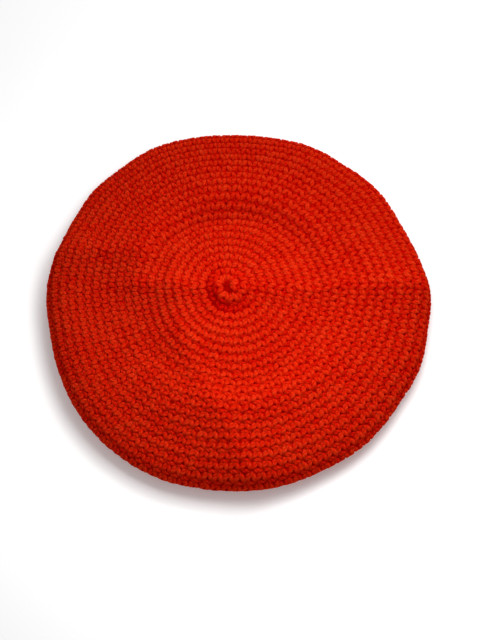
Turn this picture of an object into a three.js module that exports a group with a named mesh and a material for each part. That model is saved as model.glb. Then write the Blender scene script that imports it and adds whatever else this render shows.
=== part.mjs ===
import * as THREE from 'three';

// A crocheted beret lying on a table with its headband down. Sizes are in millimetres and +Z is up.
// The fabric is one spiral of stitches: a flat crown that widens round by round to the rim, an
// underside that narrows again, and a short headband that the hat stands on. All three follow one
// mean section, one plan outline and one table of folds. Each is a wall of knitted thickness.
// Round numbers count outward from the middle of the crown, over the rim and down the headband.

// Driving sizes
const WALL = 3.6;                // thickness of the crocheted fabric
const SEAM = 0.08;               // gap left in the groove between two pieces, in rounds
const CROWN_LAST = 24;           // last round of the crown, just under the rim
const UNDERSIDE_LAST = 32;       // last round of the underside, at the top of the headband
const HEADBAND_LAST = 33.8;      // lower edge of the headband, flat on the table
const RIM_RADIUS = 131;          // mean outer radius of the hat in plan
const ROUND_AGAIN = 30;          // round of the underside from which the plan is a true circle
const SEGMENTS = 80;             // facets around the hat

// Rounds at which the crown's disc has its rings of points, closer where it bends more
const DISC_ROUNDS = [0, 0.8, 1.6, 2.4, 3.6, 5, 6.5, 8, 9.2, 10.4, 11.6, 12.8, 14, 15.3, 16.8, 18.6, 20.5];

const YARN_RED = 0xbc1908;

// Mean section through the hat: the middle of the fabric, at each of these rounds
const SECTION = [
  { round: 0.0, radius: 0.0, height: 22.9 },
  { round: 1.5, radius: 8.8, height: 23.2 },
  { round: 2.4, radius: 14.0, height: 21.2 },
  { round: 3.5, radius: 20.4, height: 21.2 },
  { round: 5.0, radius: 29.2, height: 21.0 },
  { round: 7.0, radius: 40.9, height: 20.6 },
  { round: 8.5, radius: 49.8, height: 20.4 },
  { round: 10.0, radius: 58.6, height: 20.8 },
  { round: 11.5, radius: 67.0, height: 22.1 },
  { round: 13.5, radius: 78.4, height: 23.8 },
  { round: 16.0, radius: 92.8, height: 22.8 },
  { round: 18.5, radius: 107.1, height: 20.6 },
  { round: 20.5, radius: 118.6, height: 17.6 },
  { round: 21.6, radius: 124.9, height: 15.0 },
  { round: 22.7, radius: 129.2, height: 10.8 },
  { round: 23.7, radius: 126.4, height: 7.0 },
  { round: 25.0, radius: 118.8, height: 6.4 },
  { round: 27.0, radius: 107.2, height: 8.0 },
  { round: 29.0, radius: 95.6, height: 10.2 },
  { round: 31.0, radius: 84.4, height: 12.2 },
  { round: 31.8, radius: 80.2, height: 11.3 },
  { round: 32.5, radius: 78.2, height: 7.8 },
  { round: 33.1, radius: 78.0, height: 4.2 },
  { round: 33.8, radius: 78.0, height: 0.0 },
];

// Plan outline of the rim: outer radius at each azimuth, counterclockwise from +X
const OUTLINE = [
  { azimuth: 0, radius: 131.0 },
  { azimuth: 12, radius: 129.0 },
  { azimuth: 24, radius: 128.0 },
  { azimuth: 38, radius: 130.5 },
  { azimuth: 52, radius: 130.0 },
  { azimuth: 64, radius: 131.5 },
  { azimuth: 76, radius: 130.0 },
  { azimuth: 88, radius: 129.0 },
  { azimuth: 102, radius: 129.5 },
  { azimuth: 115, radius: 129.5 },
  { azimuth: 127, radius: 126.0 },
  { azimuth: 139, radius: 124.5 },
  { azimuth: 150, radius: 120.5 },
  { azimuth: 161, radius: 118.5 },
  { azimuth: 177, radius: 119.0 },
  { azimuth: 193, radius: 117.0 },
  { azimuth: 206, radius: 118.5 },
  { azimuth: 220, radius: 121.5 },
  { azimuth: 235, radius: 124.5 },
  { azimuth: 250, radius: 127.0 },
  { azimuth: 265, radius: 127.5 },
  { azimuth: 280, radius: 129.0 },
  { azimuth: 296, radius: 128.5 },
  { azimuth: 310, radius: 129.5 },
  { azimuth: 325, radius: 128.5 },
  { azimuth: 338, radius: 130.0 },
  { azimuth: 350, radius: 129.5 },
];

// Folds and dips of the crown. Each runs out from the middle along one azimuth: it begins at the
// round "from", is highest (or deepest, below zero) at "middle" and is gone at "to". Width is how
// far to either side, in millimetres, it has fallen to about a third.
const FOLDS = [
  { azimuth: 225, from: 0.6, middle: 1.5, to: 2.3, height: 1.0, width: 10 },
  { azimuth: 100, from: 0.4, middle: 1.2, to: 2.0, height: -1.8, width: 6 },
  { azimuth: 300, from: 3.5, middle: 8.0, to: 12.0, height: 0.8, width: 55 },
  { azimuth: 300, from: 11.0, middle: 14.0, to: 16.5, height: 1.8, width: 60 },
  { azimuth: 90, from: 7.0, middle: 9.3, to: 11.0, height: -1.6, width: 42 },
  { azimuth: 90, from: 10.0, middle: 12.0, to: 18.0, height: 3.4, width: 60 },
  { azimuth: 42, from: 8.5, middle: 11.0, to: 12.8, height: -2.6, width: 32 },
  { azimuth: 14, from: 10.5, middle: 13.8, to: 15.6, height: -3.4, width: 28 },
  { azimuth: 125, from: 7.0, middle: 9.2, to: 10.8, height: -2.2, width: 26 },
  { azimuth: 135, from: 9.0, middle: 11.0, to: 14.0, height: 2.0, width: 30 },
  { azimuth: 350, from: 15.0, middle: 20.5, to: 25.0, height: 3.0, width: 60 },
  { azimuth: 42, from: 14.0, middle: 21.0, to: 24.5, height: 4.0, width: 65 },
  { azimuth: 180, from: 7.0, middle: 14.0, to: 22.0, height: -4.2, width: 50 },
  { azimuth: 200, from: 17.0, middle: 21.3, to: 24.5, height: 2.2, width: 70 },
  { azimuth: 214, from: 8.0, middle: 14.0, to: 19.0, height: -3.2, width: 45 },
  { azimuth: 325, from: 9.0, middle: 12.5, to: 14.8, height: -1.6, width: 35 },
  { azimuth: 238, from: 15.0, middle: 18.5, to: 23.0, height: -2.2, width: 50 },
];

// Creases of the crown, each along a straight line in plan from one point to another. Left and right
// are how far the slope reaches on either side of someone who walks along the line, in millimetres:
// there it has fallen to about a third.
const CREASES = [
  { fromX: -40, fromY: 48, toX: -28, toY: -38, height: 6.5, left: 22, right: 24 },
  { fromX: -28, fromY: -38, toX: 22, toY: -136, height: 6.5, left: 22, right: 22 },
  { fromX: -20, fromY: 0, toX: 80, toY: 0, height: 5.2, left: 24, right: 9 },
  { fromX: 80, fromY: 0, toX: 132, toY: 1, height: 8.5, left: 26, right: 15 },
  { fromX: -122, fromY: 28, toX: -48, toY: 24, height: 7.5, left: 26, right: 20 },
  { fromX: -60, fromY: 2, toX: -18, toY: -2, height: 5.5, left: 12, right: 8 },
];
const CREASE_ROUNDING = 2;       // how softly a crease turns at its top
const CREASE_END = 12;           // how far to either side of its end a crease fades

// Smooth line through a table: the value of one column at a place along another
function along(rows, place, key, column) {
  const last = rows.length - 1;
  const at = Math.min(Math.max(place, rows[0][key]), rows[last][key]);
  let row = 0;
  while (row < last - 1 && rows[row + 1][key] <= at) row += 1;
  const span = (index) => rows[index + 1][key] - rows[index][key];
  const rise = (index) => (rows[index + 1][column] - rows[index][column]) / span(index);
  const tangent = (index) => {
    if (index === 0) return rise(0);
    if (index === last) return rise(last - 1);
    const before = span(index - 1);
    const after = span(index);
    return (rise(index - 1) * after + rise(index) * before) / (before + after);
  };
  const t = (at - rows[row][key]) / span(row);
  const start = rows[row][column] + t * span(row) * tangent(row) * (1 - t) * (1 - t);
  const bend = t * t * (3 - 2 * t) * (rows[row + 1][column] - rows[row][column]);
  return start + bend - t * t * (1 - t) * span(row) * tangent(row + 1);
}

function ease(value) {
  const t = Math.min(Math.max(value, 0), 1);
  return t * t * (3 - 2 * t);
}

// The outline table, continued past one full turn so that it closes smoothly
const CLOSED_OUTLINE = [-360, 0, 360].flatMap((turn) =>
  OUTLINE.map((row) => ({ azimuth: row.azimuth + turn, radius: row.radius })));

function foldHeight(fold, round, radius, angle) {
  const away = angle - THREE.MathUtils.degToRad(fold.azimuth);
  if (Math.cos(away) <= 0) return 0;
  const growing = ease((round - fold.from) / (fold.middle - fold.from));
  const fading = ease((fold.to - round) / (fold.to - fold.middle));
  const across = (radius * Math.sin(away)) / fold.width;
  return fold.height * Math.min(growing, fading) * Math.exp(-across * across);
}

function creaseHeight(crease, round, x, y) {
  const length = Math.hypot(crease.toX - crease.fromX, crease.toY - crease.fromY);
  const alongX = (crease.toX - crease.fromX) / length;
  const alongY = (crease.toY - crease.fromY) / length;
  const place = (x - crease.fromX) * alongX + (y - crease.fromY) * alongY;
  const across = (y - crease.fromY) * alongX - (x - crease.fromX) * alongY;
  const away = Math.hypot(across, CREASE_ROUNDING) - CREASE_ROUNDING;
  const slope = Math.exp(-away / (across > 0 ? crease.left : crease.right));
  const begun = ease((place + CREASE_END) / (2 * CREASE_END));
  const unended = ease((length + CREASE_END - place) / (2 * CREASE_END));
  const onCrown = ease((CROWN_LAST - round) / 3);
  return crease.height * slope * begun * unended * onCrown;
}

// A point of the middle of the fabric, at a round and an angle
function middlePoint(round, angle) {
  const degrees = THREE.MathUtils.radToDeg(angle);
  const plan = along(CLOSED_OUTLINE, degrees, 'azimuth', 'radius') / RIM_RADIUS;
  const circle = ease((round - CROWN_LAST) / (ROUND_AGAIN - CROWN_LAST));
  const radius = along(SECTION, round, 'round', 'radius') * (plan + (1 - plan) * circle);
  let height = along(SECTION, round, 'round', 'height');
  for (const fold of FOLDS) height += foldHeight(fold, round, radius, angle);
  const x = radius * Math.cos(angle);
  const y = radius * Math.sin(angle);
  for (const crease of CREASES) height += creaseHeight(crease, round, x, y);
  return new THREE.Vector3(x, y, height);
}

// The direction out of the fabric: up on the crown, outward on the rim, down on the underside
function outward(round, angle) {
  const step = 0.01;
  const before = Math.max(round - step, step);
  const after = Math.min(before + 2 * step, HEADBAND_LAST);
  const alongRounds = middlePoint(after, angle).sub(middlePoint(before, angle));
  const here = Math.max(round, step);
  const alongRing = middlePoint(here, angle + step).sub(middlePoint(here, angle - step));
  return alongRounds.cross(alongRing).normalize();
}

// A point on one face of the fabric: side +1 is the outer face, -1 the inner one
function facePoint(round, angle, side) {
  const point = middlePoint(round, angle).addScaledVector(outward(round, angle), (side * WALL) / 2);
  if (round === 0) point.set(0, 0, point.z);
  if (round === HEADBAND_LAST) point.z = 0;
  return point;
}

function steps(first, last, count) {
  return Array.from({ length: count + 1 }, (unused, index) => first + ((last - first) * index) / count);
}

// A closed wall of fabric through the given rounds. A wall that begins at round 0 is a whole disc.
function fabricWall(rounds) {
  const positions = [];
  const indices = [];
  const addPoint = (point) => positions.push(point.x, point.y, point.z) / 3 - 1;
  const rings = (side) => rounds.map((round) => {
    if (round === 0) return Array(SEGMENTS).fill(addPoint(facePoint(0, 0, side)));
    return Array.from({ length: SEGMENTS }, (unused, index) =>
      addPoint(facePoint(round, (2 * Math.PI * index) / SEGMENTS, side)));
  });
  const join = (ringA, ringB) => {
    for (let index = 0; index < SEGMENTS; index += 1) {
      const next = (index + 1) % SEGMENTS;
      if (ringB[index] !== ringB[next]) indices.push(ringA[index], ringB[index], ringB[next]);
      if (ringA[index] !== ringA[next]) indices.push(ringA[index], ringB[next], ringA[next]);
    }
  };
  const outer = rings(1);
  const inner = rings(-1);
  for (let row = 0; row + 1 < rounds.length; row += 1) {
    join(outer[row], outer[row + 1]);
    join(inner[row + 1], inner[row]);
  }
  join(outer[rounds.length - 1], inner[rounds.length - 1]);
  if (rounds[0] > 0) join(inner[0], outer[0]);
  const geometry = new THREE.BufferGeometry();
  geometry.setAttribute('position', new THREE.Float32BufferAttribute(positions, 3));
  geometry.setIndex(indices);
  return geometry;
}

const yarn = new THREE.MeshStandardMaterial({ color: YARN_RED, roughness: 0.95, metalness: 0 });
yarn.name = 'yarn';

function namedMesh(name, geometry) {
  const mesh = new THREE.Mesh(geometry, yarn);
  mesh.name = name;
  return mesh;
}

// The flat top of the hat, from the centre stitch to just under the rim
function makeCrown() {
  const rim = steps(DISC_ROUNDS.at(-1), CROWN_LAST - SEAM / 2, 6);
  return namedMesh('crown', fabricWall([...DISC_ROUNDS, ...rim.slice(1)]));
}

// The narrowing rounds below the crown
function makeUnderside() {
  return namedMesh('underside', fabricWall(steps(CROWN_LAST + SEAM / 2, UNDERSIDE_LAST - SEAM / 2, 8)));
}

// The short upright band round the head opening, with its flat lower edge
function makeHeadband() {
  return namedMesh('headband', fabricWall(steps(UNDERSIDE_LAST + SEAM / 2, HEADBAND_LAST, 4)));
}

const top = new THREE.Group();
top.name = 'top';
top.add(makeCrown());

const below = new THREE.Group();
below.name = 'below';
below.add(makeUnderside(), makeHeadband());

const beret = new THREE.Group();
beret.name = 'crochet_beret';
beret.add(top, below);

// The origin is on the table under the middle of the hat's bounding box
const middle = new THREE.Box3().setFromObject(beret).getCenter(new THREE.Vector3());
beret.traverse((object) => {
  if (!object.isMesh) return;
  object.geometry.translate(-middle.x, -middle.y, 0);
  object.geometry.computeVertexNormals();
});

export default beret;
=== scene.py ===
# A crocheted beret lying crown up on a pale table. Each stitch of its spiral is modelled in yarn over
# a thin backing that fills the fabric, on the same section, outline and folds as the solids.
# The form is worked out in millimetres and goes into Blender in metres.
# Round numbers count outward from the middle of the crown, over the rim and down the headband.

import math

import bpy
import numpy as np
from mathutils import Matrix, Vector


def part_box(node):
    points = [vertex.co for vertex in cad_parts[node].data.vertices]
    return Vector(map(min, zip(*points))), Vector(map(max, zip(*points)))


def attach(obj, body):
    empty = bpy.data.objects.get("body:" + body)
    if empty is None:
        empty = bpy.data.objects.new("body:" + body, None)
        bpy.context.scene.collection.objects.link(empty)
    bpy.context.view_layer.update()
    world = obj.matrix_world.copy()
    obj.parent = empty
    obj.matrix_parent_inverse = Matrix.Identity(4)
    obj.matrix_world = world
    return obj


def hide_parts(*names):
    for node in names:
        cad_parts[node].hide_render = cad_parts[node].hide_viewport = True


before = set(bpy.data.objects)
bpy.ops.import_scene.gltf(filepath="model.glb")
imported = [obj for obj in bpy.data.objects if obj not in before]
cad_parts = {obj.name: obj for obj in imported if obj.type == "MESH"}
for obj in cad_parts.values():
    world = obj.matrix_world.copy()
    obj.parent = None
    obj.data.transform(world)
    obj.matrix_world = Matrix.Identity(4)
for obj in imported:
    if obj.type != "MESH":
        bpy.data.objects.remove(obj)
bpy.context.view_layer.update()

# The form of the hat, as in the solids
CROWN_LAST = 24.0          # last round of the crown, just under the rim
UNDERSIDE_LAST = 32.0      # last round of the underside, at the top of the headband
HEADBAND_LAST = 33.8       # lower edge of the headband, flat on the table
RIM_RADIUS = 131.6         # outer radius in plan, over the solids' 131 so that the yarn ends inside
ROUND_AGAIN = 30.0         # round of the underside from which the plan is a true circle

# Mean section through the hat: round, radius, height
SECTION = np.array([
    (0.0, 0.0, 22.9),
    (1.5, 8.8, 23.2),
    (2.4, 14.0, 21.2),
    (3.5, 20.4, 21.2),
    (5.0, 29.2, 21.0),
    (7.0, 40.9, 20.6),
    (8.5, 49.8, 20.4),
    (10.0, 58.6, 20.8),
    (11.5, 67.0, 22.1),
    (13.5, 78.4, 23.8),
    (16.0, 92.8, 22.8),
    (18.5, 107.1, 20.6),
    (20.5, 118.6, 17.6),
    (21.6, 124.9, 15.0),
    (22.7, 129.2, 10.8),
    (23.7, 126.4, 7.0),
    (25.0, 118.8, 6.4),
    (27.0, 107.2, 8.0),
    (29.0, 95.6, 10.2),
    (31.0, 84.4, 12.2),
    (31.8, 80.2, 11.3),
    (32.5, 78.2, 7.8),
    (33.1, 78.0, 4.2),
    (33.8, 78.0, 0.0),
])

# Plan outline of the rim: azimuth, outer radius
OUTLINE = np.array([
    (0, 131.0),
    (12, 129.0),
    (24, 128.0),
    (38, 130.5),
    (52, 130.0),
    (64, 131.5),
    (76, 130.0),
    (88, 129.0),
    (102, 129.5),
    (115, 129.5),
    (127, 126.0),
    (139, 124.5),
    (150, 120.5),
    (161, 118.5),
    (177, 119.0),
    (193, 117.0),
    (206, 118.5),
    (220, 121.5),
    (235, 124.5),
    (250, 127.0),
    (265, 127.5),
    (280, 129.0),
    (296, 128.5),
    (310, 129.5),
    (325, 128.5),
    (338, 130.0),
    (350, 129.5),
])
CLOSED_OUTLINE = np.concatenate([OUTLINE + (turn, 0) for turn in (-360, 0, 360)])

# Folds and dips of the crown: azimuth, from round, middle round, to round, height, width
FOLDS = [
    (225, 0.6, 1.5, 2.3, 1.0, 10),
    (100, 0.4, 1.2, 2.0, -1.8, 6),
    (300, 3.5, 8.0, 12.0, 0.8, 55),
    (300, 11.0, 14.0, 16.5, 1.8, 60),
    (90, 7.0, 9.3, 11.0, -1.6, 42),
    (90, 10.0, 12.0, 18.0, 3.4, 60),
    (42, 8.5, 11.0, 12.8, -2.6, 32),
    (14, 10.5, 13.8, 15.6, -3.4, 28),
    (125, 7.0, 9.2, 10.8, -2.2, 26),
    (135, 9.0, 11.0, 14.0, 2.0, 30),
    (350, 15.0, 20.5, 25.0, 3.0, 60),
    (42, 14.0, 21.0, 24.5, 4.0, 65),
    (180, 7.0, 14.0, 22.0, -4.2, 50),
    (200, 17.0, 21.3, 24.5, 2.2, 70),
    (214, 8.0, 14.0, 19.0, -3.2, 45),
    (325, 9.0, 12.5, 14.8, -1.6, 35),
    (238, 15.0, 18.5, 23.0, -2.2, 50),
]

# Creases of the crown, along straight lines in plan: from x, from y, to x, to y, height, and the
# widths of the slope on the left and on the right of someone who walks along the line
CREASES = [
    (-40, 48, -28, -38, 6.5, 22, 24),
    (-28, -38, 22, -136, 6.5, 22, 22),
    (-20, 0, 80, 0, 5.2, 24, 9),
    (80, 0, 132, 1, 8.5, 26, 15),
    (-122, 28, -48, 24, 7.5, 26, 20),
    (-60, 2, -18, -2, 5.5, 12, 8),
]
CREASE_ROUNDING = 2.0      # how softly a crease turns at its top
CREASE_END = 12.0          # how far to either side of its end a crease fades
CREASE_RIM = 3.0           # rounds over which the creases fade before the crown's last round

# The yarn and the backing behind the stitches
YARN_RADIUS = 1.44
YARN_SPREAD = 1.18         # how much wider than high the pulled yarn lies
YARN_SIDES = 6
BACKING = 0.5              # half the thickness of the backing
BACKING_COLUMNS = 160
BACKING_START = 0.03       # round at which caps close the backing in the middle of the crown
BACKING_END = 33.5         # round of the backing's lower edge, hidden behind the stitches

# The spiral of stitches
SPIRAL_START = 0.25        # round of the spiral at azimuth 0
FIRST_TURN = -0.8          # where the spiral begins, in turns from there
FIRST_EDGE = 0.05          # round nearest the middle that a stitch reaches
LAST_EDGE = 33.5           # round of the lowest stitches' edge, just above the table
LEAST_HEIGHT = 0.3         # least height of a stitch at that edge, in rounds
STITCH_WIDTHS = (0.86, 1.14)   # narrowest and widest stitch, in mean widths

# How many stitches a round has: round, stitches
STITCHES = np.array([
    (0.25, 6),
    (1, 9),
    (2, 14),
    (3, 20),
    (4, 27),
    (5, 34),
    (6, 41),
    (7, 47),
    (8, 51),
    (9, 53),
    (10, 55),
    (11, 59),
    (12, 65),
    (13, 70),
    (14, 74),
    (15, 80),
    (16, 88),
    (17, 97),
    (18, 106),
    (19, 112),
    (20, 118),
    (21, 124),
    (22, 128),
    (24, 128),
    (26, 118),
    (28, 108),
    (30, 97),
    (32, 86),
    (33.8, 84),
])

# Strands of one stitch. Across is in stitch widths from its middle, up in round heights from its
# foot, lift in millimetres above the middle of the fabric, and full in shares of the yarn's radius:
# across, up, lift, full
RIGHT_LEG = [
    (0.02, -0.01, -0.8, 0.88),
    (0.09, 0.16, 0.05, 1.0),
    (0.20, 0.39, 0.6, 1.13),
    (0.31, 0.61, 0.6, 1.13),
    (0.41, 0.82, 0.1, 1.0),
    (0.46, 0.99, -0.8, 0.88),
]
LEFT_LEG = [
    (-0.04, -0.01, -0.8, 0.88),
    (-0.11, 0.16, 0.05, 1.0),
    (-0.20, 0.39, 0.6, 1.13),
    (-0.31, 0.61, 0.6, 1.13),
    (-0.39, 0.82, 0.1, 1.0),
    (-0.45, 0.99, -0.8, 0.88),
]
TOP_LOOP = [
    (-0.54, 1.01, -0.75, 0.83),
    (-0.23, 0.98, -0.1, 0.94),
    (0.17, 0.98, -0.1, 0.94),
    (0.51, 1.01, -0.75, 0.83),
]
BACK_BAR = [
    (-0.56, 0.22, 0.1, 0.9),
    (-0.20, 0.42, -1.1, 1.0),
    (0.20, 0.58, -1.1, 1.0),
    (0.56, 0.78, 0.1, 0.9),
]

# The most that chance changes each strand by itself: across, up, lift, full, tone
STRAND_CHANCE = (0.04, 0.02, 0.12, 0.08, 0.6)

# The most that chance changes a whole stitch: lean, up, lift, full, tone
STITCH_CHANCE = (0.08, 0.02, 0.08, 0.0, 0.6)

# The top loops of the outer rounds, which sink on the tighter side of the hat and rise opposite
LOOP_RISE = 0.18           # how much higher they lie on average
LOOP_TURN = 2.1            # how many times as much they sink or rise with the azimuth
LOOP_SIDE = 60.0           # azimuth of the tighter side
LOOP_ROUNDS = (6, 11)      # rounds between which this sets in

# The groove round the nub in the middle, where the stitches are pulled in
NUB_GROOVE = 1.2           # depth on its deepest side
NUB_GROOVE_EVEN = 0.55     # share of the depth that is the same all round
NUB_GROOVE_TURNED = 0.45   # share of the depth that changes with the azimuth
NUB_GROOVE_SIDE = 225.0    # azimuth of the deepest side
NUB_GROOVE_ROUND = 1.8     # round of the feet of the deepest stitches
NUB_GROOVE_WIDTH = 0.45    # how many rounds to either side of them it fades

# Strands of the outer and of the inner face: shape, rings of points, rise of the loop
OUTER_FACE = [
    (RIGHT_LEG, 7, 0),
    (LEFT_LEG, 7, 0),
    (TOP_LOOP, 5, LOOP_RISE),
]
INNER_FACE = [
    (BACK_BAR, 5, 0),
]

# Pieces of the backing: name, node, first round, last round, rows of points
BACKING_PIECES = [
    ("crown_backing", "crown", BACKING_START, CROWN_LAST, 80),
    ("underside_backing", "underside", CROWN_LAST, UNDERSIDE_LAST, 26),
    ("headband_backing", "headband", UNDERSIDE_LAST, BACKING_END, 8),
]

# Pieces of yarn: name, node, first round, last round, strands
YARN_PIECES = [
    ("crown_stitches_middle", "crown", 0, 12, OUTER_FACE),
    ("crown_stitches_outer", "crown", 12, 18.5, OUTER_FACE),
    ("crown_stitches_rim", "crown", 18.5, CROWN_LAST, OUTER_FACE),
    ("underside_stitches_outer", "underside", CROWN_LAST, 28, OUTER_FACE),
    ("underside_stitches_inner", "underside", 28, UNDERSIDE_LAST, OUTER_FACE),
    ("headband_stitches", "headband", UNDERSIDE_LAST, HEADBAND_LAST, OUTER_FACE),
    ("crown_inside", "crown", 0, CROWN_LAST, INNER_FACE),
    ("underside_inside", "underside", CROWN_LAST, UNDERSIDE_LAST, INNER_FACE),
    ("headband_inside", "headband", UNDERSIDE_LAST, HEADBAND_LAST, INNER_FACE),
]

# The twisted yarn's texture
PLIES = 3.0                # plies seen round the strand
TWIST = 0.42               # plies passed in a millimetre along the yarn
FIBRE_ACROSS = 2.2         # how fine the loose fibres are across the plies
FIBRE_ALONG = 0.9          # how fine they are along the yarn
FIBRE_TONE = 7.0           # how far apart in the noise two strands of other tones lie

# The yarn's colour, from the shaded to the lit parts, as painted shade and highlight: the ramp runs from
# a darker, purer red for yarn low between the stitches to a lighter, more orange red for yarn high on
# them: position on the ramp, linear red, green, blue
YARN_COLOURS = [
    (0.35, (0.37, 0.0001, 0.0001)),
    (0.6, (0.445, 0.0060, 0.0010)),
    (1.0, (0.54, 0.0290, 0.0050)),
]
# The backing's colour, darker than the yarn's as painted shade deep between the stitches: position on the
# ramp, linear red, green, blue
BACKING_COLOURS = [
    (0.3, (0.13, 0.0003, 0.0001)),
    (0.7, (0.27, 0.0008, 0.0002)),
]

# The photograph's view
CAMERA_ELEVATION = 65.0
CAMERA_DISTANCE = 600.0
CAMERA_LENS = 51.5
CAMERA_SENSOR = 36.0
CAMERA_TARGET = (7.3, -10.4, 0.0)   # from the middle of the spiral

# The studio, with sizes in metres
FLOOR_SIZE = 6.0
FLOOR_DROP = 0.0002        # how far below the hat the floor lies
WORLD_STRENGTH = 0.41


def along(rows, column, place):
    """The value of a table's column at places along its first column, as a smooth line."""
    keys = rows[:, 0]
    values = rows[:, column]
    spans = np.diff(keys)
    rises = np.diff(values) / spans
    inner = (rises[:-1] * spans[1:] + rises[1:] * spans[:-1]) / (spans[:-1] + spans[1:])
    tangents = np.concatenate([rises[:1], inner, rises[-1:]])
    at = np.clip(place, keys[0], keys[-1])
    row = np.clip(np.searchsorted(keys, at, side="right") - 1, 0, len(spans) - 1)
    t = (at - keys[row]) / spans[row]
    start = values[row] + t * spans[row] * tangents[row] * (1 - t) ** 2
    bend = t * t * (3 - 2 * t) * (values[row + 1] - values[row])
    return start + bend - t * t * (1 - t) * spans[row] * tangents[row + 1]


def ease(value):
    """A smooth step from 0 to 1."""
    t = np.clip(value, 0, 1)
    return t * t * (3 - 2 * t)


def unit(vectors):
    return vectors / np.maximum(np.linalg.norm(vectors, axis=-1, keepdims=True), 1e-9)


def fold_height(fold, rounds, radius, angle):
    azimuth, first, middle, last, height, width = fold
    away = angle - math.radians(azimuth)
    growing = ease((rounds - first) / (middle - first))
    fading = ease((last - rounds) / (last - middle))
    across = radius * np.sin(away) / width
    return height * np.minimum(growing, fading) * np.exp(-across * across) * (np.cos(away) > 0)


def crease_height(crease, rounds, x, y):
    from_x, from_y, to_x, to_y, height, left, right = crease
    length = math.hypot(to_x - from_x, to_y - from_y)
    along_x = (to_x - from_x) / length
    along_y = (to_y - from_y) / length
    place = (x - from_x) * along_x + (y - from_y) * along_y
    across = (y - from_y) * along_x - (x - from_x) * along_y
    away = np.sqrt(across ** 2 + CREASE_ROUNDING ** 2) - CREASE_ROUNDING
    slope = np.exp(-away / np.where(across > 0, left, right))
    begun = ease((place + CREASE_END) / (2 * CREASE_END))
    unended = ease((length + CREASE_END - place) / (2 * CREASE_END))
    on_crown = ease((CROWN_LAST - rounds) / CREASE_RIM)
    return height * slope * begun * unended * on_crown


def middle_point(rounds, angle):
    """Points of the middle of the fabric, at rounds and angles."""
    rounds, angle = np.broadcast_arrays(rounds, angle)
    plan = along(CLOSED_OUTLINE, 1, np.degrees(angle) % 360) / RIM_RADIUS
    circle = ease((rounds - CROWN_LAST) / (ROUND_AGAIN - CROWN_LAST))
    radius = along(SECTION, 1, rounds) * (plan + (1 - plan) * circle)
    height = along(SECTION, 2, rounds)
    for fold in FOLDS:
        height = height + fold_height(fold, rounds, radius, angle)
    x = radius * np.cos(angle)
    y = radius * np.sin(angle)
    for crease in CREASES:
        height = height + crease_height(crease, rounds, x, y)
    return np.stack([x, y, height], axis=-1)


def outward(rounds, angle):
    """The direction out of the fabric's outer face, from small steps in rounds and in radians."""
    step = 0.02
    before = np.clip(rounds - step, step, HEADBAND_LAST - 2 * step)
    along_rounds = middle_point(before + 2 * step, angle) - middle_point(before, angle)
    here = np.maximum(rounds, step)
    along_ring = middle_point(here, angle + step) - middle_point(here, angle - step)
    return unit(np.cross(along_rounds, along_ring))


def fabric_point(rounds, angle, lift):
    """Points at a lift above the middle of the fabric, and the directions out of it."""
    normal = outward(rounds, angle)
    return middle_point(rounds, angle) + normal * np.asarray(lift)[..., None], normal


def spiral_centre():
    """The middle of the spiral in the model's frame, which is the middle of the headband."""
    low, high = (np.array(corner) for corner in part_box("headband"))
    return (low + high) / 2 * (1, 1, 0)


SPIRAL_CENTRE = spiral_centre()


def placed(points):
    """Millimetres from the middle of the spiral to metres in the model's frame."""
    return points / 1000 + SPIRAL_CENTRE


def add_piece(name, points, faces, node, material, uvs=None, shades=None):
    """A mesh from points and arrays of faces, with one corner count in each array."""
    mesh = bpy.data.meshes.new(name)
    counts = np.concatenate([np.full(len(rows), rows.shape[1]) for rows in faces])
    corners = np.concatenate([rows.reshape(-1) for rows in faces])
    mesh.vertices.add(len(points))
    mesh.vertices.foreach_set("co", placed(points).astype(np.float32).reshape(-1))
    mesh.loops.add(len(corners))
    mesh.loops.foreach_set("vertex_index", corners.astype(np.int32))
    mesh.polygons.add(len(counts))
    starts = np.concatenate([[0], np.cumsum(counts)[:-1]])
    mesh.polygons.foreach_set("loop_start", starts.astype(np.int32))
    mesh.polygons.foreach_set("use_smooth", np.ones(len(counts), dtype=bool))
    if uvs is not None:
        layer = mesh.uv_layers.new(name="yarn")
        layer.uv.foreach_set("vector", uvs.astype(np.float32).reshape(-1))
    for shade, values in (shades or {}).items():
        layer = mesh.attributes.new(shade, "FLOAT", "POINT")
        layer.data.foreach_set("value", values.astype(np.float32))
    mesh.update()
    mesh.validate()
    mesh.materials.append(material)
    piece = bpy.data.objects.new(name, mesh)
    bpy.context.collection.objects.link(piece)
    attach(piece, "root")
    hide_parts(node)


def ring_grid(rings, columns):
    """Quads that join rings of points, each ring closed on itself."""
    row = np.arange(rings - 1)[:, None] * columns
    here = np.arange(columns)[None, :]
    after = (here + 1) % columns
    quads = np.stack([row + here, row + columns + here, row + columns + after, row + after], axis=-1)
    return quads.reshape(-1, 4)


def add_backing(name, node, first, last, rows, material):
    """The thin fabric behind the stitches, as one closed wall: out along its outer side, and back
    along its inner side to where it began."""
    rounds = np.linspace(first, last, rows)
    angle = np.linspace(0, 2 * math.pi, BACKING_COLUMNS, endpoint=False)
    path = np.concatenate([rounds, rounds[::-1]])
    lift = np.repeat([BACKING, -BACKING], rows)[:, None]
    points, _ = fabric_point(path[:, None], angle[None, :], np.repeat(lift, BACKING_COLUMNS, axis=1))
    quads = ring_grid(2 * rows, BACKING_COLUMNS)
    start = np.arange(BACKING_COLUMNS)
    final = (2 * rows - 1) * BACKING_COLUMNS
    if first == BACKING_START:
        ends = [start[None, :], final + start[None, ::-1]]
    else:
        after = (start + 1) % BACKING_COLUMNS
        ends = [np.stack([final + start, start, after, final + after], axis=-1)]
    add_piece(name, points.reshape(-1, 3), [quads] + ends, node, material)


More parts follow.
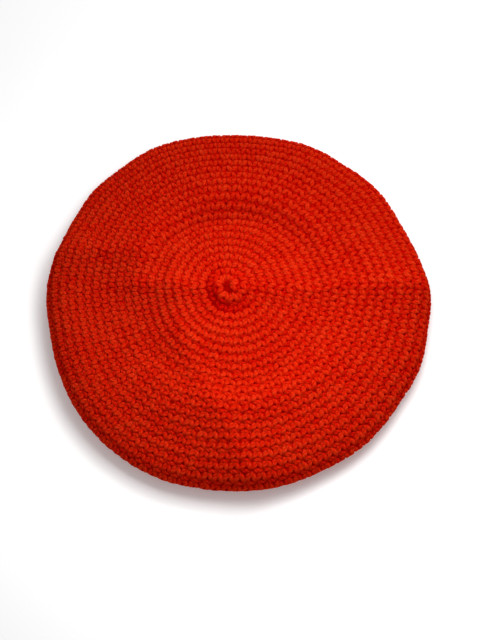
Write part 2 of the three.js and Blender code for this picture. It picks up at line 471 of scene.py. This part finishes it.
def smooth_paths(points, steps):
    """Smooth lines through control points: (stitches, controls, values) to (stitches, steps, values)."""
    controls = points.shape[1]
    before = 2 * points[:, :1] - points[:, 1:2]
    beyond = 2 * points[:, -1:] - points[:, -2:-1]
    padded = np.concatenate([before, points, beyond], axis=1)
    place = np.linspace(0, controls - 1, steps)
    row = np.minimum(place.astype(int), controls - 2)
    t = (place - row)[None, :, None]
    a, b, c, d = (padded[:, row + shift] for shift in range(4))
    return 0.5 * (2 * b + (c - a) * t + (2 * a - 5 * b + 4 * c - d) * t ** 2
                  + (3 * b - a - 3 * c + d) * t ** 3)


def tube_faces(count, rings):
    """Side quads and end caps of closed tubes of yarn that follow one another."""
    first = (np.arange(count) * rings * YARN_SIDES)[:, None, None]
    sides = (first + ring_grid(rings, YARN_SIDES)[None]).reshape(-1, 4)
    start = np.arange(YARN_SIDES)[None, :]
    finish = (rings - 1) * YARN_SIDES + np.arange(YARN_SIDES)[None, ::-1]
    caps = (first + np.stack([start, finish], axis=1)).reshape(-1, YARN_SIDES)
    return sides, caps


def tube_uvs(paths):
    """For each corner of the side quads, the share round the yarn and the millimetres along it."""
    count, rings, _ = paths.shape
    pieces = np.linalg.norm(np.diff(paths, axis=1), axis=-1)
    lengths = np.concatenate([np.zeros((count, 1)), np.cumsum(pieces, axis=1)], axis=1)
    around = np.arange(YARN_SIDES) / YARN_SIDES
    step = 1 / YARN_SIDES
    u = np.stack([around, around, around + step, around + step], axis=-1)
    u = np.broadcast_to(u[None, None], (count, rings - 1, YARN_SIDES, 4))
    v = np.stack([lengths[:, :-1], lengths[:, 1:], lengths[:, 1:], lengths[:, :-1]], axis=-1)
    v = np.broadcast_to(v[:, :, None, :], u.shape)
    return np.stack([u, v], axis=-1).reshape(-1, 2)


def tube_points(paths, normals, radii, lifts):
    """Rings of points round paths, and how high above the middle of the fabric each point lies."""
    tangents = unit(np.gradient(paths, axis=1))
    sideways = unit(np.cross(tangents, normals))
    upward = np.cross(sideways, tangents)
    turn = np.linspace(0, 2 * math.pi, YARN_SIDES, endpoint=False)
    wide = YARN_SPREAD * np.cos(turn)[:, None] * sideways[:, :, None, :]
    spokes = wide + np.sin(turn)[:, None] * upward[:, :, None, :]
    points = paths[:, :, None, :] + spokes * radii[:, :, None, None]
    heights = lifts[:, :, None] + radii[:, :, None] * np.sin(turn)
    return points.reshape(-1, 3), heights.reshape(-1)


def spiral_stitches():
    """Each stitch of the spiral: round of its foot, height in rounds, middle angle, angular width."""
    chance = np.random.default_rng(7)
    rows = []
    turns = FIRST_TURN
    while turns + SPIRAL_START < LAST_EDGE - LEAST_HEIGHT:
        foot = turns + SPIRAL_START
        share = chance.uniform(*STITCH_WIDTHS) / along(STITCHES, 1, foot)
        height = min(1.0, LAST_EDGE - foot)
        rows.append((foot, height, 2 * math.pi * (turns + share / 2), 2 * math.pi * share))
        turns += share
    return np.array(rows)


def stitch_changes(count):
    """Random changes of each stitch. The strands of a face take the rows from the first on, and the
    last row changes the whole stitch."""
    draws = np.random.default_rng(11).uniform(-1, 1, (count, 5, 5))
    return draws * np.array([STRAND_CHANCE] * 4 + [STITCH_CHANCE])


ALL_STITCHES = spiral_stitches()
CHANGES = stitch_changes(len(ALL_STITCHES))


def loop_turn(foot, angle):
    """How many times the loop's rise a loop rises at a round and azimuth, or sinks if negative."""
    first, last = LOOP_ROUNDS
    turned = 1 - LOOP_TURN * np.cos(angle - math.radians(LOOP_SIDE))
    return turned * ease((foot - first) / (last - first))


def nub_groove(foot, angle):
    """How deep the groove round the nub pulls a stitch in."""
    side = NUB_GROOVE_EVEN + NUB_GROOVE_TURNED * np.cos(angle - math.radians(NUB_GROOVE_SIDE))
    return NUB_GROOVE * side * np.exp(-((foot - NUB_GROOVE_ROUND) / NUB_GROOVE_WIDTH) ** 2)


def strands(shape, chosen, steps, which, rise):
    """One strand of every chosen stitch, bent onto the fabric: path, normals, radii and lifts."""
    foot, height, angle, width = ALL_STITCHES[chosen].T
    own = CHANGES[chosen, which, :, None]
    whole = CHANGES[chosen, -1, :, None]
    controls = np.array(shape)
    lean = whole[:, 0] * (controls[None, :, 1] - 0.5)
    across = controls[None, :, 0] + own[:, 0] + lean
    up = controls[None, :, 1] + own[:, 1] + whole[:, 1]
    lift = controls[None, :, 2] + own[:, 2] + whole[:, 2]
    lift = lift + rise * loop_turn(foot, angle)[:, None]
    lift = lift - nub_groove(foot, angle)[:, None]
    rounds = np.clip(foot[:, None] + up * height[:, None], FIRST_EDGE, LAST_EDGE)
    angles = angle[:, None] + across * width[:, None]
    points, normals = fabric_point(rounds, angles, lift)
    full = np.broadcast_to(controls[None, :, 3:4], points[..., :1].shape)
    smooth = smooth_paths(np.concatenate([points, normals, full, lift[..., None]], axis=-1), steps)
    radii = YARN_RADIUS * (1 + own[:, 3]) * smooth[..., 6]
    return smooth[..., :3], unit(smooth[..., 3:6]), radii, smooth[..., 7]


def add_yarn(name, node, first, last, face, material):
    """The yarn of all stitches whose foot lies between two rounds, as one joined mesh."""
    feet = ALL_STITCHES[:, 0]
    chosen = np.flatnonzero((feet >= first) & (feet < last))
    points, sides, caps, uvs, heights, tones = [], [], [], [], [], []
    total = 0
    for which, (shape, steps, rise) in enumerate(face):
        paths, normals, radii, lifts = strands(shape, chosen, steps, which, rise)
        new_points, new_heights = tube_points(paths, normals, radii, lifts)
        new_sides, new_caps = tube_faces(len(chosen), steps)
        tone = CHANGES[chosen, which, 4] + CHANGES[chosen, -1, 4]
        points.append(new_points)
        heights.append(new_heights)
        sides.append(new_sides + total)
        caps.append(new_caps + total)
        uvs.append(tube_uvs(paths))
        tones.append(np.repeat(tone, steps * YARN_SIDES))
        total += len(new_points)
    faces = [np.concatenate(sides), np.concatenate(caps)]
    uvs.append(np.zeros((faces[1].size, 2)))
    # The height drives the yarn's painted shade and highlight, darker low between the stitches; the tone
    # is random.
    shades = {"tone": np.concatenate(tones), "height": np.concatenate(heights)}
    add_piece(name, np.concatenate(points), faces, node, material, np.concatenate(uvs), shades)


def set_inputs(node, values):
    for name, value in values.items():
        node.inputs[name].default_value = value


def new_material(name, shader_inputs):
    """A material with its node tree and its shader."""
    material = bpy.data.materials.new(name)
    material.use_nodes = True
    shader = material.node_tree.nodes["Principled BSDF"]
    set_inputs(shader, shader_inputs)
    return material, material.node_tree, shader


def calculated(tree, operation, first, second=None):
    """The result of a math node, from numbers or other nodes' outputs."""
    node = tree.nodes.new("ShaderNodeMath")
    node.operation = operation
    for socket, value in zip(node.inputs, (first, second)):
        if value is None:
            continue
        if isinstance(value, (int, float)):
            socket.default_value = value
        else:
            tree.links.new(value, socket)
    return node.outputs[0]


def weighted_sum(tree, terms):
    """The sum of pairs of an output and its weight."""
    total = None
    for output, weight in terms:
        term = calculated(tree, "MULTIPLY", output, weight)
        total = term if total is None else calculated(tree, "ADD", total, term)
    return total


def attribute(tree, name):
    node = tree.nodes.new("ShaderNodeAttribute")
    node.attribute_name = name
    return node.outputs["Fac"]


def noise(tree, vector, scale, detail):
    node = tree.nodes.new("ShaderNodeTexNoise")
    set_inputs(node, {"Scale": scale, "Detail": detail})
    tree.links.new(vector, node.inputs["Vector"])
    return node.outputs["Fac"]


def add_bump(tree, shader, relief, strength, distance):
    node = tree.nodes.new("ShaderNodeBump")
    set_inputs(node, {"Strength": strength, "Distance": distance})
    tree.links.new(relief, node.inputs["Height"])
    tree.links.new(node.outputs["Normal"], shader.inputs["Normal"])


def add_colours(tree, shader, shade, colours):
    """The shader's base colour, from a ramp through stops of position and linear colour."""
    node = tree.nodes.new("ShaderNodeValToRGB")
    elements = node.color_ramp.elements
    first, *inner, last = colours
    for index, (position, colour) in enumerate((first, last)):
        elements[index].position = position
        elements[index].color = (*colour, 1)
    for position, colour in inner:
        elements.new(position).color = (*colour, 1)
    tree.links.new(shade, node.inputs["Fac"])
    tree.links.new(node.outputs["Color"], shader.inputs["Base Color"])


def twisted_yarn(tree, tone):
    """Outputs of the twisted plies and of the loose fibres that follow them."""
    place = tree.nodes.new("ShaderNodeUVMap")
    place.uv_map = "yarn"
    split = tree.nodes.new("ShaderNodeSeparateXYZ")
    tree.links.new(place.outputs["UV"], split.inputs[0])
    turns = weighted_sum(tree, [(split.outputs["X"], PLIES), (split.outputs["Y"], TWIST)])
    phase = calculated(tree, "MULTIPLY", turns, 2 * math.pi)
    half_phase = calculated(tree, "MULTIPLY", phase, 0.5)
    ply = calculated(tree, "ABSOLUTE", calculated(tree, "SINE", half_phase))
    stretched = tree.nodes.new("ShaderNodeCombineXYZ")
    parts = {
        "X": (phase, FIBRE_ACROSS),
        "Y": (split.outputs["Y"], FIBRE_ALONG),
        "Z": (tone, FIBRE_TONE),
    }
    for axis, (output, weight) in parts.items():
        tree.links.new(calculated(tree, "MULTIPLY", output, weight), stretched.inputs[axis])
    return ply, noise(tree, stretched.outputs[0], scale=1.0, detail=4.0)


def yarn_material():
    """Twisted plies and loose fibres along the yarn, a soft sheen, small random changes of red, and
    painted shade and highlight: darker low between the stitches and more orange high on them.
    """
    material, tree, shader = new_material("red_yarn", {
        "Roughness": 0.85,
        "Specular IOR Level": 0.0,
        "Subsurface Weight": 0.7,
        "Subsurface Radius": (1.0, 0.3, 0.1),
        "Subsurface Scale": 0.0015,
        "Sheen Weight": 0.1,
        "Sheen Roughness": 0.5,
        "Sheen Tint": (1.0, 0.03, 0.0, 1.0),
    })
    tone = attribute(tree, "tone")
    height = attribute(tree, "height")
    ply, fibre = twisted_yarn(tree, tone)
    relief = weighted_sum(tree, [(ply, 1.0), (fibre, 0.6)])
    # The ramp's factor: painted shade and highlight from the yarn's height above the fabric, a random
    # tone, the fibres, and darker between the plies.
    shade = weighted_sum(tree, [(height, 0.22), (tone, 0.07), (fibre, 0.3), (ply, 0.2)])
    add_bump(tree, shader, relief, strength=0.9, distance=0.0004)
    add_colours(tree, shader, shade, YARN_COLOURS)
    return material


def backing_material():
    """The yarn deep between the stitches, in a darker red that paints the shade there."""
    material, tree, shader = new_material("backing_yarn_painted_shade", {
        "Roughness": 0.95,
        "Specular IOR Level": 0.0,
    })
    place = tree.nodes.new("ShaderNodeTexCoord")
    fibre = noise(tree, place.outputs["Object"], scale=900.0, detail=3.0)
    add_bump(tree, shader, fibre, strength=0.5, distance=0.0005)
    add_colours(tree, shader, fibre, BACKING_COLOURS)
    return material


def floor_material():
    """A white table that glows a little: painted light, no lamp, which keeps it white, lightens the hat's
    shadow on it and throws a little light up onto the hat.
    """
    material, _, _ = new_material("pale_table", {
        "Base Color": (0.97, 0.97, 0.97, 1),
        "Emission Color": (1, 1, 1, 1),
        # The glow is painted light.
        "Emission Strength": 0.12,
        "Roughness": 0.9,
        "Specular IOR Level": 0.0,
    })
    return material


def add_floor():
    bpy.ops.mesh.primitive_plane_add(size=FLOOR_SIZE, location=(0, 0, -FLOOR_DROP))
    floor = bpy.context.object
    floor.name = "pale_floor"
    floor.data.materials.append(floor_material())


def add_area_light(name, target, azimuth, elevation, distance, size, watts):
    """A soft light towards a target in millimetres from the middle of the spiral. From there it lies
    at an azimuth counterclockwise from +X, an elevation above the table and a distance in metres.
    Its size is in metres too."""
    light = bpy.data.lights.new(name, "AREA")
    light.size = size
    light.energy = watts
    lamp = bpy.data.objects.new(name, light)
    lamp.visible_camera = False
    bpy.context.collection.objects.link(lamp)
    turn = math.radians(azimuth)
    tilt = math.radians(elevation)
    towards = np.array((math.cos(tilt) * math.cos(turn), math.cos(tilt) * math.sin(turn), math.sin(tilt)))
    lamp.location = placed(np.array(target)) + distance * towards
    lamp.rotation_euler = (math.pi / 2 - tilt, 0, turn + math.pi / 2)


def add_lights():
    """A small softbox close above the crown, and a large soft window behind it."""
    add_area_light(
        "softbox", target=(30, -35, 0), azimuth=60, elevation=86, distance=0.20, size=0.15, watts=0.45)
    add_area_light(
        "window", target=(0, 0, 0), azimuth=62, elevation=38, distance=1.3, size=1.0, watts=10.5)


def add_world():
    world = bpy.data.worlds.new("studio")
    world.use_nodes = True
    background = world.node_tree.nodes["Background"]
    set_inputs(background, {"Color": (1, 1, 1, 1), "Strength": WORLD_STRENGTH})
    bpy.context.scene.world = world


def add_camera():
    camera = bpy.data.cameras.new("photo_view")
    camera.lens = CAMERA_LENS
    camera.sensor_width = CAMERA_SENSOR
    holder = bpy.data.objects.new("photo_view", camera)
    bpy.context.collection.objects.link(holder)
    tilt = math.radians(CAMERA_ELEVATION)
    back = np.array((0.0, -math.cos(tilt), math.sin(tilt))) * CAMERA_DISTANCE
    holder.location = placed(np.array(CAMERA_TARGET) + back)
    holder.rotation_euler = (math.pi / 2 - tilt, 0, 0)
    bpy.context.scene.camera = holder


def add_beret():
    yarn = yarn_material()
    deep = backing_material()
    for name, node, first, last, rows in BACKING_PIECES:
        add_backing(name, node, first, last, rows, deep)
    for name, node, first, last, face in YARN_PIECES:
        add_yarn(name, node, first, last, face, yarn)


add_camera()
add_world()
add_floor()
add_lights()
add_beret()
bpy.context.scene.view_settings.view_transform = "Standard"
